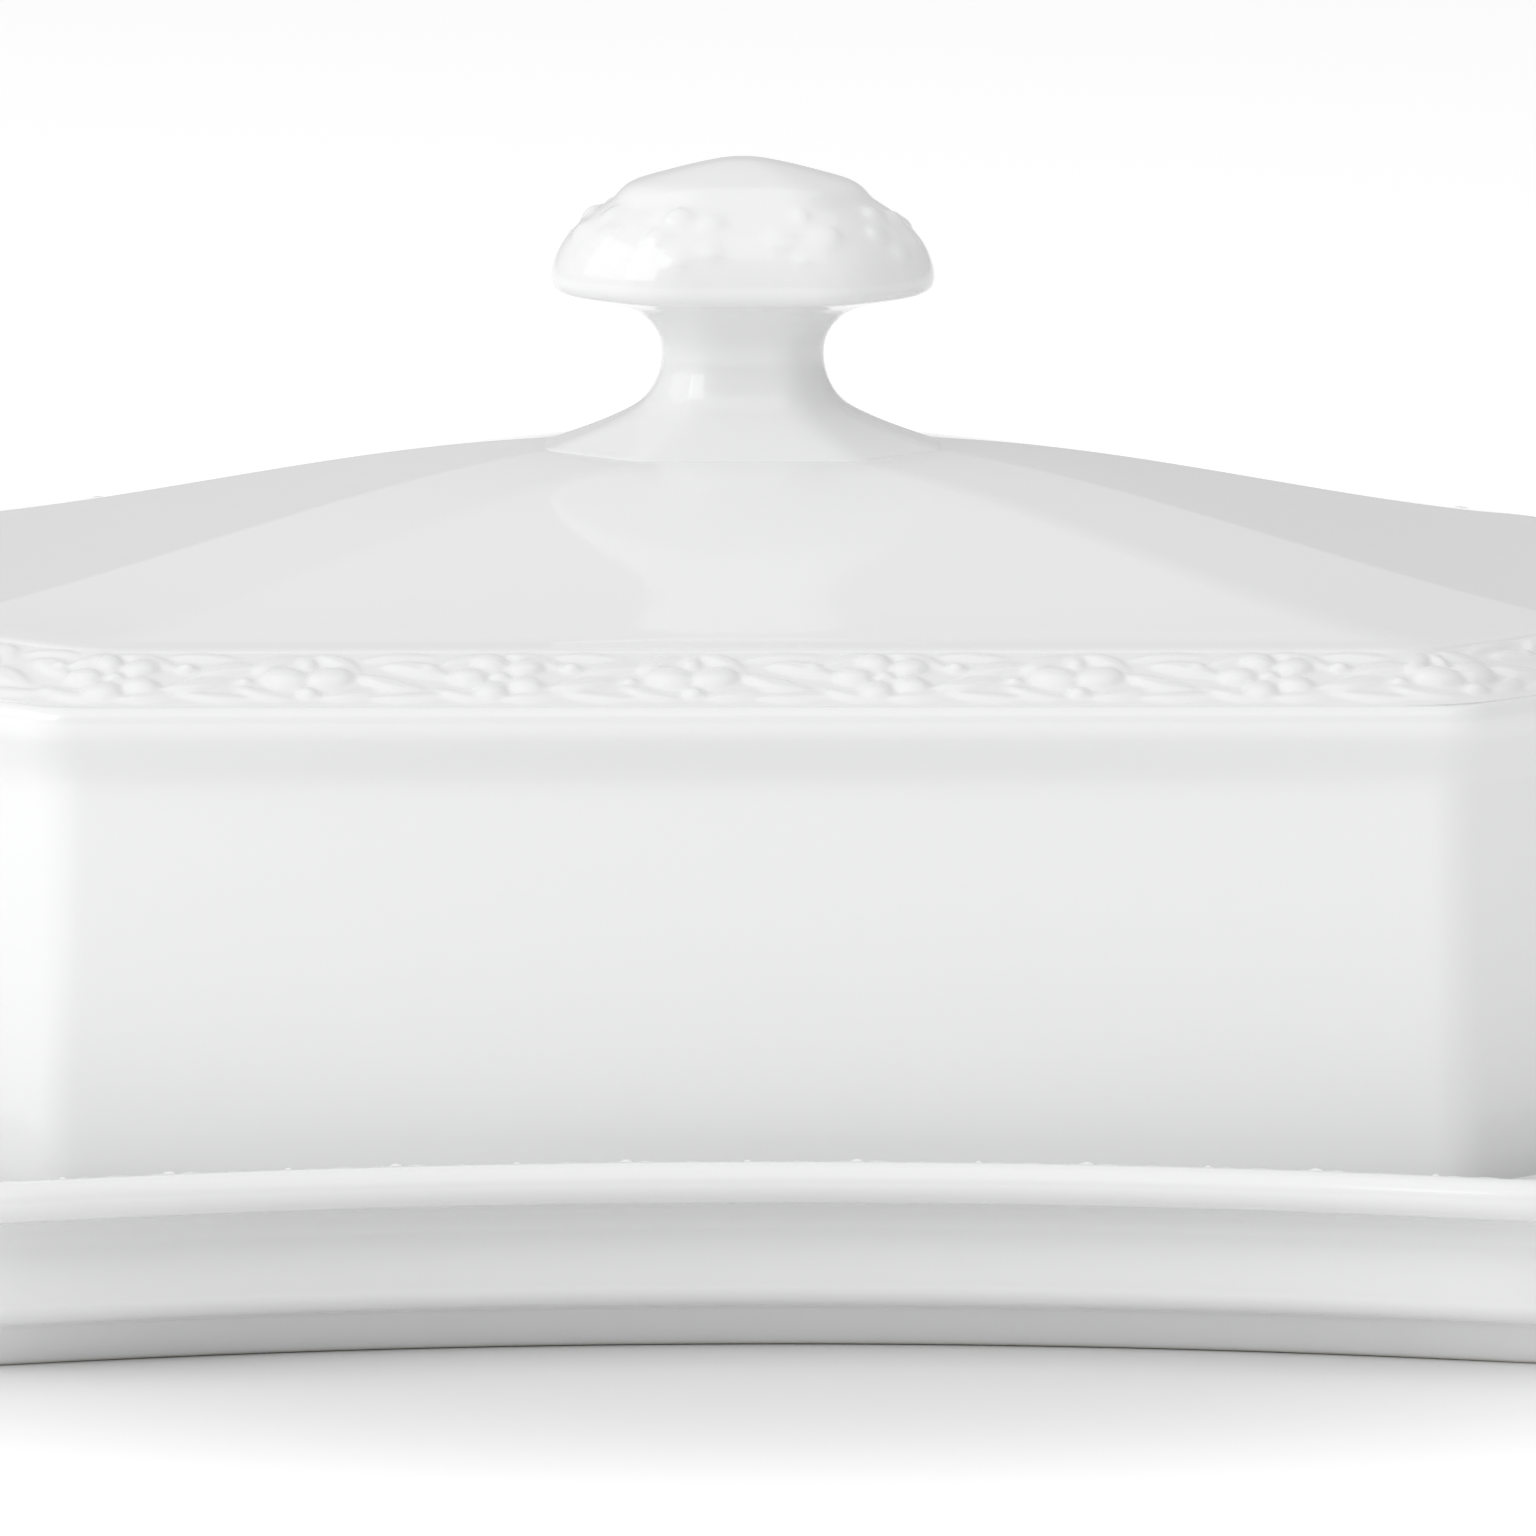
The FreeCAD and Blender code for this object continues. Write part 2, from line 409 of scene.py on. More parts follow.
class Graph:
    """The node tree of one material, or of the sky."""

    def __init__(self, block: bpy.types.ID, shader: str = "Principled BSDF") -> None:
        """Opens the tree of a material or world, with its shader."""
        block.use_nodes = True
        self.tree = block.node_tree
        self.shader = self.tree.nodes[shader]

    def node(self, kind: str, settings: dict[str, Any], sockets: dict[Any, Any], output: Any = 0) -> Signal:
        """Makes a node.

        Args:
            kind: The node's type.
            settings: Its own settings; "stops" holds a ramp's places and values.
            sockets: Numbers or signals for its inputs.
            output: Which of its outputs is wanted.

        Returns:
            That output.
        """
        made = self.tree.nodes.new(kind)
        for key, value in settings.items():
            if key == "stops":
                for element, (place, shade) in zip(made.color_ramp.elements, value):
                    element.position = place
                    element.color = (shade, shade, shade, 1.0)
            else:
                setattr(made, key, value)
        for key, value in sockets.items():
            self.feed(made.inputs[key], value)
        return Signal(self, made.outputs[output])

    def feed(self, socket: bpy.types.NodeSocket, value: Any) -> None:
        """Links a signal to a socket, or sets the socket to a number or colour."""
        if isinstance(value, Signal):
            self.tree.links.new(value.socket, socket)
        else:
            socket.default_value = value

    def place(self) -> Signal:
        """Place on the piece, in metres."""
        return self.node("ShaderNodeTexCoord", {}, {}, "Object")

    def height(self) -> Signal:
        """Height above the table, in metres."""
        return self.node("ShaderNodeSeparateXYZ", {}, {0: self.place()}, "Z")

    def reach(self) -> Signal:
        """Distance from the middle of the dish, in metres."""
        return self.node("ShaderNodeVectorMath", {"operation": "LENGTH"}, {0: self.place()}, "Value")

    def ramp(self, value: Signal, low: float, high: float) -> Signal:
        """Nought below one value and one above another, with a soft step between."""
        return self.node("ShaderNodeMapRange", {"interpolation_type": "SMOOTHSTEP"},
                         {"Value": value, "From Min": low, "From Max": high})

    def noise(self, scale: float, detail: float, roughness: float) -> Signal:
        """Cloudy noise on the piece, from nought to one."""
        sockets = {"Vector": self.place(), "Scale": scale, "Detail": detail, "Roughness": roughness}
        return self.node("ShaderNodeTexNoise", {}, sockets, "Fac")

    def mixed(self, share: Signal, first: Any, second: Any) -> Signal:
        """A colour between two others."""
        return self.node("ShaderNodeMix", {"data_type": "RGBA"}, {0: share, 6: first, 7: second}, 2)


@dataclass(frozen=True)
class PorcelainGlaze:
    """Clear gloss glaze on white porcelain, with faint ripples and a few dark specks.

    Its colour is painted darker and greyer in hollows, creases and under overhangs, as painted shade from an
    ambient occlusion mask. Reaches and heights are in metres. A scale counts the features in a metre, and
    speck_size is a share of the space between two of them.
    """

    body: tuple[float, float, float, float] = (0.885, 0.890, 0.887, 1.0)
    # Grey of the painted shade in hollows.
    hollow_shade: tuple[float, float, float, float] = (0.66, 0.675, 0.67, 1.0)
    speck: tuple[float, float, float, float] = (0.34, 0.33, 0.31, 1.0)
    bare: tuple[float, float, float, float] = (0.80, 0.785, 0.755, 1.0)
    gloss: float = 0.055
    gloss_spread: float = 0.03
    gloss_scale: float = 140.0
    bare_roughening: float = 0.6
    # Reach of the ambient occlusion that paints shade into hollows, and where that painted shade starts and
    # is full.
    shade_reach: float = 2.6 * MM
    shade_from: float = 0.28
    shade_full: float = 0.95
    ripple_scale: float = 85.0
    ripple_height: float = 0.012 * MM
    peel_scale: float = 900.0
    peel_height: float = 0.0008 * MM
    speck_scale: float = 70.0
    speck_size: float = 0.011
    speck_rarity_scale: float = 31.0
    speck_rarity: tuple[float, float] = (0.60, 0.64)
    ior: float = 1.52
    bare_foot_height: float = 0.0

    def material(self, name: str) -> bpy.types.Material:
        """Builds the finish.

        Args:
            name: Name of the material.

        Returns:
            The material.
        """
        material = bpy.data.materials.new(name)
        graph = Graph(material)
        shader = graph.shader.inputs
        # Painted shade: ambient occlusion greys the base colour in hollows, creases and under overhangs.
        occlusion = graph.node("ShaderNodeAmbientOcclusion", {"samples": 8, "only_local": True},
                               {"Distance": self.shade_reach}, "AO")
        painted_shade = graph.ramp(1.0 - occlusion, self.shade_from, self.shade_full)
        colour = graph.mixed(painted_shade, self.body, self.hollow_shade)
        cell = graph.node("ShaderNodeTexVoronoi", {"feature": "F1"},
                          {"Vector": graph.place(), "Scale": self.speck_scale}, "Distance")
        rarity = graph.ramp(graph.noise(self.speck_rarity_scale, 0.0, 0.5), *self.speck_rarity)
        speckle = (1.0 - graph.ramp(cell, self.speck_size * 0.5, self.speck_size)) * rarity
        colour = graph.mixed(speckle, colour, self.speck)
        roughness = graph.noise(self.gloss_scale, 2.0, 0.5) * self.gloss_spread + self.gloss
        if self.bare_foot_height:
            bare = 1.0 - graph.ramp(graph.height(), self.bare_foot_height * 0.7, self.bare_foot_height)
            colour = graph.mixed(bare, colour, self.bare)
            roughness = roughness + bare * self.bare_roughening
        graph.feed(shader["Base Color"], colour)
        graph.feed(shader["Roughness"], roughness)
        ripple = graph.noise(self.ripple_scale, 1.0, 0.4) * self.ripple_height
        relief = ripple + graph.noise(self.peel_scale, 1.0, 0.5) * self.peel_height
        sockets = {"Height": relief, "Strength": 1.0, "Distance": 1.0}
        bump = graph.node("ShaderNodeBump", {}, sockets, "Normal")
        graph.feed(shader["Normal"], bump)
        shader["IOR"].default_value = self.ior
        return material


@dataclass(frozen=True)
class StudioFloor:
    """Pale studio floor, painted greyer near the dish as a painted shadow, that glows faintly further away.

    Its distances are in metres.
    """

    # Painted shadow: the floor's colour near the dish.
    under: tuple[float, float, float, float] = (0.80, 0.80, 0.80, 1.0)
    open: tuple[float, float, float, float] = (0.93, 0.93, 0.93, 1.0)
    unlit: tuple[float, float, float, float] = (0.0, 0.0, 0.0, 1.0)
    lit: tuple[float, float, float, float] = (1.0, 1.0, 1.0, 1.0)
    glow: float = 0.29
    roughness: float = 0.9
    shadow_within: float = 0.078
    open_beyond: float = 0.150

    def material(self) -> bpy.types.Material:
        """Builds the finish."""
        material = bpy.data.materials.new("studio_floor")
        graph = Graph(material)
        shader = graph.shader.inputs
        # Painted shadow round the dish: the floor is greyer and unlit close to it, and pale and glowing
        # further out.
        away = graph.ramp(graph.reach(), self.shadow_within, self.open_beyond)
        graph.feed(shader["Base Color"], graph.mixed(away, self.under, self.open))
        graph.feed(shader["Emission Color"], graph.mixed(away, self.unlit, self.lit))
        shader["Roughness"].default_value = self.roughness
        shader["Emission Strength"].default_value = self.glow
        return material


# ------------------------------------------------------------------------------------------
# Relief
# ------------------------------------------------------------------------------------------


@dataclass
class Ornament:
    """Rosettes, two-lobed fruit and leaves, built flat in the XY plane at full size."""

    rosette_reach: float = 2.45
    fruit_lobe: float = 1.75
    pieces: list[bpy.types.Object] = field(default_factory=list)

    def bead(self, place: tuple[float, float], size: tuple[float, float, float], turn: float = 0.0) -> None:
        """Adds a rounded grain.

        Args:
            place: Its middle, along and across the band.
            size: Its half length, half width and height.
            turn: Its turn in degrees.
        """
        grain = added(bpy.ops.mesh.primitive_uv_sphere_add, "grain", segments=24, ring_count=14, radius=MM)
        grain.scale = size
        grain.rotation_euler.z = math.radians(turn)
        grain.location = (place[0] * MM, place[1] * MM, 0.0)
        self.pieces.append(settled(grain))

    def leaf(self, place: tuple[float, float], size: tuple[float, float, float], turn: float,
             curl: float) -> None:
        """Adds a pointed leaf with a sunken midrib.

        Args:
            place: Its middle, along and across the band.
            size: Its half length, half width and height.
            turn: Its turn in degrees.
            curl: How far its ends swing to the left, as a share of its half length.
        """
        blade = added(bpy.ops.mesh.primitive_uv_sphere_add, "blade", segments=28, ring_count=18, radius=1.0)
        blade.rotation_euler.y = math.radians(90.0)
        settled(blade)
        for vertex in blade.data.vertices:
            x, y, z = vertex.co
            taper = 1.0 - 0.62 * x * x
            rib = 0.70 + 0.30 * min(abs(y) / 0.35, 1.0)
            vertex.co = (x, y * taper, z * (0.8 - 0.35 * x) * rib)
        blade.scale = Vector(size) * MM
        settled(blade)
        for vertex in blade.data.vertices:
            vertex.co.y += curl * vertex.co.x ** 2 / (size[0] * MM)
        blade.rotation_euler.z = math.radians(turn)
        blade.location = (place[0] * MM, place[1] * MM, 0.0)
        self.pieces.append(settled(blade))

    def rosette(self, along: float, leafy: bool = True) -> None:
        """Adds a five-petalled rosette with a sunken eye, and low leaves round it where it is leafy."""
        for petal in range(5):
            angle = math.radians(90.0 + 72.0 * petal + 18.0)
            spot = (along + self.rosette_reach * math.cos(angle), self.rosette_reach * math.sin(angle))
            self.bead(spot, (1.55, 1.35, 0.84), math.degrees(angle))
        self.bead((along, 0.0), (0.80, 0.80, 0.62))
        for side in (-1, 1) if leafy else ():
            self.leaf((along + side * 2.6, 3.0), (3.0, 0.80, 0.64), -side * 24.0, -0.22)
            self.leaf((along + side * 2.7, -3.2), (2.8, 0.75, 0.56), side * 18.0, 0.20)

    def fruit(self, along: float, leafy: bool = True) -> None:
        """Adds a fruit of two round lobes with a stem, and leaves round it where it is leafy."""
        for side in (-1, 1):
            self.bead((along + side * 1.72, -0.25), (self.fruit_lobe * 1.15, 1.66, 0.94), side * 24.0)
        for side in (-1, 1) if leafy else ():
            self.leaf((along + side * 2.5, 2.45), (2.6, 0.88, 0.74), -side * 38.0, -0.20)
            self.leaf((along + side * 3.5, -2.9), (2.7, 0.75, 0.54), side * 24.0, 0.20)
        self.leaf((along, 2.5), (1.4, 0.75, 0.72), 90.0, 0.0)
        self.bead((along, -2.7), (0.85, 0.85, 0.72))

    def spray(self, along: float, lean: int) -> None:
        """Adds the leaves and buds between two ornaments.

        Args:
            along: Middle of the gap.
            lean: Plus or minus one, for the way that the leaves sweep.
        """
        self.leaf((along - 1.1, -1.35), (3.2, 1.05, 0.82), lean * 24.0, 0.16)
        self.leaf((along + 1.2, 1.30), (3.1, 1.05, 0.78), lean * 20.0, -0.16)
        self.leaf((along + 0.4, -3.35), (3.4, 0.66, 0.50), -lean * 7.0, 0.10)
        self.leaf((along - 0.3, 3.40), (3.3, 0.64, 0.50), -lean * 6.0, -0.10)
        self.bead((along - lean * 1.9, 1.45), (0.78, 0.72, 0.74))
        self.bead((along + lean * 2.6, -0.75), (0.60, 0.56, 0.56))

    def sprig(self) -> None:
        """Adds the small leaf and bud that stand between the ornaments of the knob."""
        self.leaf((0.0, 0.9), (1.9, 0.85, 0.72), 24.0, -0.12)
        self.leaf((0.2, -1.3), (1.8, 0.80, 0.62), -18.0, 0.12)

    def gathered(self, name: str) -> bpy.types.Object:
        """Joins what has been added so far into one mould and starts afresh."""
        mould = joined(name, self.pieces)
        self.pieces = []
        return mould


@dataclass
class Garland:
    """Relief sheet: one repeat pressed over a mould, then repeated along a band.

    The rosette, the fruit and the sprays stand at set shares of a repeat.
    """

    repeat: float = 29.95
    width: float = 9.3
    grain: float = 0.225
    softness: int = 8
    flatness: float = 0.74
    depth: float = 0.7
    guide_spacing: float = 1.2
    weld: float = 0.1
    seam: float = 0.02
    drop: float = 5.0
    rosette_at: float = 0.25
    fruit_at: float = 0.75
    spray_at: float = 0.5

    def pressed(self, name: str) -> bpy.types.Object:
        """One flat repeat of the relief, from nought to its length along X."""
        ornament = Ornament()
        for turn in (-1, 0, 1):
            start = turn * self.repeat
            ornament.rosette(start + self.repeat * self.rosette_at)
            ornament.spray(start + self.repeat * self.spray_at, 1)
            ornament.fruit(start + self.repeat * self.fruit_at)
            ornament.spray(start + self.repeat, -1)
        backing = added(bpy.ops.mesh.primitive_plane_add, "backing", size=4 * self.repeat * MM)
        ornament.pieces.append(backing)
        mould = ornament.gathered("mould")
        columns, rows = round(self.repeat / self.grain), round(self.width / self.grain)
        sheet = added(bpy.ops.mesh.primitive_grid_add, name, size=MM,
                      x_subdivisions=columns, y_subdivisions=rows)
        sheet.scale = (self.repeat, self.width, 1.0)
        sheet.location = (self.repeat / 2 * MM, 0.0, self.drop * MM)
        settled(sheet)
        finished(sheet, "SHRINKWRAP", target=mould, wrap_method="PROJECT", use_project_z=True,
                 use_negative_direction=True, use_positive_direction=False)
        removed(mould)
        return sheet

    def bent(self, name: str, path: Ring, repeats: int, width: float, slope: float,
             shift: float) -> bpy.types.Object:
        """Runs the relief round a closed band.

        Args:
            name: Name of the piece.
            path: Middle line of the band, counter-clockwise.
            repeats: Number of repeats round the band.
            width: Width of the relief on the band.
            slope: Slope of the band in degrees, rising inwards.
            shift: Distance from the middle of the front to the start of the first repeat.

        Returns:
            The closed relief ring.
        """
        line = evenly(from_front(path), self.guide_spacing)
        length = sum(runs(line))
        strip = self.pressed(name)
        ratio = width / self.width
        strip.scale = (length / repeats / self.repeat, ratio, ratio * self.flatness)
        settled(strip)
        finished(strip, "ARRAY", count=repeats, use_relative_offset=False, use_constant_offset=True,
                 constant_offset_displace=(length / repeats * MM, 0.0, 0.0), use_merge_vertices=True,
                 merge_threshold=self.seam * MM)
        finished(strip, "SMOOTH", factor=0.5, iterations=self.softness, use_x=False, use_y=False)
        first, last = self.weld * MM, (length - self.weld) * MM
        at_ends = [spot.index for spot in strip.data.vertices if not first < spot.co.x < last]
        strip.vertex_groups.new(name="ends").add(at_ends, 1.0, "ADD")
        strip.rotation_euler.x = math.radians(slope)
        strip.location.x = shift * MM
        settled(strip)
        bpy.ops.curve.primitive_nurbs_path_add()
        guide = bpy.context.active_object
        guide.data.splines.clear()
        spline = guide.data.splines.new("POLY")
        spline.points.add(len(line) - 1)
        for spot, point in zip(spline.points, line):
            spot.co = (*(point * MM), 1.0)
        spline.use_cyclic_u = True
        guide.data.twist_mode = "Z_UP"
        finished(strip, "CURVE", object=guide, deform_axis="POS_X")
        removed(guide)
        return self._closed(strip)

    def _closed(self, strip: bpy.types.Object) -> bpy.types.Object:
        """Welds the ends of a bent strip and gives it a back."""
        only(strip)
        bpy.ops.object.mode_set(mode="EDIT")
        bpy.ops.mesh.select_all(action="DESELECT")
        bpy.ops.object.vertex_group_select()
        bpy.ops.mesh.remove_doubles(threshold=self.weld * MM)
        bpy.ops.mesh.select_mode(type="EDGE")
        bpy.ops.mesh.select_all(action="DESELECT")
        bpy.ops.mesh.select_non_manifold(extend=False, use_boundary=True)
        bpy.ops.mesh.extrude_edges_move(TRANSFORM_OT_translate={"value": (0.0, 0.0, -self.depth * MM)})
        bpy.ops.mesh.bridge_edge_loops()
        bpy.ops.mesh.select_all(action="SELECT")
        bpy.ops.mesh.normals_make_consistent(inside=False)
        bpy.ops.mesh.select_mode(type="VERT")
        bpy.ops.object.mode_set(mode="OBJECT")
        bpy.ops.object.shade_smooth_by_angle(angle=math.radians(60.0))
        return strip


# ------------------------------------------------------------------------------------------
# Sub-assemblies
# ------------------------------------------------------------------------------------------


def dressed(piece: bpy.types.Object, material: bpy.types.Material, body: Body) -> bpy.types.Object:
    """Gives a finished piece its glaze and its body."""
    piece.data.materials.clear()
    piece.data.materials.append(material)
    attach(piece, body.value)
    return piece


@dataclass
class Tray:
    """The tray: foot ring, coved body, rolled lip, relief band, flag and well.

    The profiles of the foot, body, lip and flag are pairs of a distance in from the rim and a height.
    Those of the well and the step are pairs of a distance out from their own outline and a height.
    """

    rim: HollowOutline = HollowOutline()
    foot: Profile = field(default_factory=lambda: [
        (15.0, 3.0), (14.1, 2.9), (13.5, 2.3), (12.75, 0.5), (12.2, 0.05), (11.6, 0.0), (9.0, 0.0),
        (8.35, 0.06), (8.0, 0.4), (7.3, 1.7), (6.65, 3.0), (6.35, 3.35), (6.1, 3.45)])
    body: Profile = field(default_factory=lambda: [
        (6.1, 3.45), (5.5, 3.52), (4.1, 3.95), (3.35, 5.0), (3.6, 6.6), (4.05, 8.3), (4.35, 10.0),
        (4.15, 11.3), (3.2, 11.95)])
    lip: Profile = field(default_factory=lambda: [
        (3.2, 11.95), (2.6, 12.05), (1.0, 12.45), (0.15, 13.3), (0.05, 14.3), (0.65, 15.2), (1.6, 15.48),
        (2.2, 15.3), (2.5, 14.95)])
    band_slope: float = 21.6
    band_middle: float = 5.15
    band_height: float = 14.32
    band_width: float = 5.7
    relief_shift: float = 3.6
    relief_repeats: int = 33
    flag: Profile = field(default_factory=lambda: [
        (3.0, 14.75), (7.4, 12.95), (7.8, 12.95), (8.2, 13.12), (8.6, 13.14)])
    well: CantedOutline = CantedOutline(76.7, 58.7, 21.0, 9.0, 9.0)
    well_flare: float = 1.1
    well_edge: Profile = field(default_factory=lambda: [(0.25, 12.65), (-0.05, 12.35), (-0.35, 11.3)])
    well_wall: Profile = field(default_factory=lambda: [(0.5, 9.2), (0.1, 7.95), (-0.5, 7.6)])
    step_in: float = 7.6
    step: Profile = field(default_factory=lambda: [
        (0.5, 7.6), (0.0, 7.48), (-1.0, 6.92), (-1.6, 6.8), (-6.0, 6.8)])

    def rings(self) -> list[Ring]:
        """Rings from the middle of the underside, round the rim, to the middle of the floor."""
        outside = self.foot + softened(self.body, 2)[1:] + softened(self.lip, 2)[1:]
        rings = [self.rim.ring(inset, height) for inset, height in outside + self.flag]
        edge = self.well.grown(self.well_flare)
        rings += [edge.grown(out).ring(height) for out, height in self.well_edge]
        rings += [self.well.grown(out).ring(height) for out, height in self.well_wall]
        step = self.well.grown(-self.step_in)
        rings += [step.grown(out).ring(height) for out, height in self.step]
        return rings

    def build(self, garland: Garland) -> list[bpy.types.Object]:
        """Models and dresses the tray and its relief.

        Args:
            garland: The relief's settings.

        Returns:
            The two pieces.
        """
        tray = drawn_out("tray", self.rings(), 2)
        path = self.rim.ring(self.band_middle, self.band_height)
        relief = garland.bent("tray_relief", path, self.relief_repeats, self.band_width, -self.band_slope,
                              self.relief_shift)
        # The tray's glaze paints a strong grey shade, from ambient occlusion, into the cove under the lip,
        # the foot and round the relief.
        material = PorcelainGlaze(hollow_shade=(0.54, 0.555, 0.55, 1.0), shade_reach=7.0 * MM, shade_from=0.14,
                                  shade_full=0.8, bare_foot_height=0.35 * MM).material("tray_glaze")
        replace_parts(dressed(tray, material, Body.BASE), "base_dish")
        dressed(relief, material, Body.BASE)
        return [tray, relief]


@dataclass
class Lid:
    """The cover: flared wall, bead, relief band and hipped roof, hollow inside.

    The profiles are pairs of a distance out from an outline and a height. The outline is the wall's, the
    inner wall's for inside, the pad's for ceiling_middle and the roof's for edge_above_base. Heights in
    ceiling_middle count from the roof's top, and those in edge_above_base from its base.
    """

    wall: CantedOutline = CantedOutline(75.0, 57.0, 20.0, 5.5, 5.5)
    roof: CantedOutline = CantedOutline(66.0, 48.0, 14.7, 7.0, 1.6)
    pad: CantedOutline = CantedOutline(15.9, 11.06, 7.0, 3.0, 1.6)
    face: Profile = field(default_factory=lambda: [
        (0.58, 8.8), (0.15, 15.0), (-0.40, 22.0), (-0.95, 30.0), (-1.32, 37.0), (-1.52, 42.0)])
    bead: Profile = field(default_factory=lambda: [
        (-1.52, 42.0), (-1.46, 43.1), (-1.10, 44.2), (-0.56, 45.3), (-0.02, 46.3), (0.38, 47.1), (0.57, 48.0),
        (0.45, 48.9), (0.0, 49.4), (-0.40, 49.5)])
    crease: tuple[float, float] = (-0.75, 49.25)
    edge_above_base: Profile = field(default_factory=lambda: [
        (1.15, -0.85), (0.95, -0.80), (0.91, -0.52), (0.72, -0.26), (0.40, -0.10), (-0.10, 0.01),
        (-1.00, 0.15), (-2.00, 0.31)])
    roof_base: float = 52.9
    roof_top: float = 63.0
    roof_shares: tuple[float, ...] = (0.91, 0.83, 0.73, 0.62, 0.5, 0.38, 0.27, 0.17, 0.09, 0.04, 0.015, 0.0)
    top_in: float = 2.0
    slope_at_knob: float = 0.5
    slope_at_band: float = 0.7
    thickness: float = 4.0
    inside: Profile = field(default_factory=lambda: [
        (-3.4, 47.9), (-1.3, 46.2), (-0.7, 43.5), (-0.3, 25.0), (0.0, 9.0), (0.25, 8.05), (1.0, 7.6)])
    wall_foot: Profile = field(default_factory=lambda: [(-0.5, 7.6), (0.3, 8.0)])
    ceiling_shares: tuple[float, ...] = (0.35, 0.7, 0.94)
    ceiling_middle: Profile = field(default_factory=lambda: [(-2.5, -4.5), (-1.5, -4.55)])
    ceiling_in: float = 1.5
    ceiling_below_top: float = 4.6
    ceiling_fall: float = 9.9
    relief_path: CantedOutline = CantedOutline(70.5, 52.5, 17.35, 7.5, 7.5)
    relief_height: float = 51.15
    relief_shift: float = 2.5
    relief_repeats: int = 15
    relief_width: float = 9.0
    relief_slope: float = 20.7

    def roof_height(self, share: float) -> float:
        """Height of the roof at a share of the way from the pad down to the band."""
        leaving = self.slope_at_knob * (share ** 3 - 2 * share ** 2 + share)
        meeting = self.slope_at_band * (share ** 3 - share ** 2)
        return self.roof_top - (self.roof_top - self.roof_base) * (
            leaving + 3 * share ** 2 - 2 * share ** 3 + meeting)

    def rings(self) -> list[Ring]:
        """Rings from the middle of the ceiling, down the inside, under the wall and up to the knob."""
        inner = self.wall.grown(-self.thickness)
        ceiling, eaves = self.pad.grown(-self.ceiling_in), self.roof.grown(-self.ceiling_in)
        rings = [self.pad.grown(out).ring(self.roof_top + lift) for out, lift in self.ceiling_middle]
        for share in self.ceiling_shares:
            level = self.roof_top - self.ceiling_below_top - share * self.ceiling_fall
            rings.append(ceiling.blended(eaves, share).ring(level))
        rings += [inner.grown(out).ring(height) for out, height in self.inside]
        face = self.wall_foot + softened(self.face, 2) + softened(self.bead, 2)[1:] + [self.crease]
        rings += [self.wall.grown(out).ring(height) for out, height in face]
        rings += [self.roof.grown(out).ring(self.roof_base + lift) for out, lift in self.edge_above_base]
        for share in self.roof_shares:
            rings.append(self.pad.blended(self.roof, share).ring(self.roof_height(share)))
        rings.append(self.pad.grown(-self.top_in).ring(self.roof_top))
        return rings

    def build(self, garland: Garland) -> list[bpy.types.Object]:
        """Models and dresses the cover and its relief.

        Args:
            garland: The relief's settings.

        Returns:
            The two pieces.
        """
        shell = drawn_out("lid_cover", self.rings(), 2)
        path = self.relief_path.ring(self.relief_height)
        relief = garland.bent("lid_relief", path, self.relief_repeats, self.relief_width, self.relief_slope,
                              self.relief_shift)
        material = PorcelainGlaze().material("lid_glaze")
        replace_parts(dressed(shell, material, Body.LID), "lid_shell")
        dressed(relief, material, Body.LID)
        return [shell, relief]


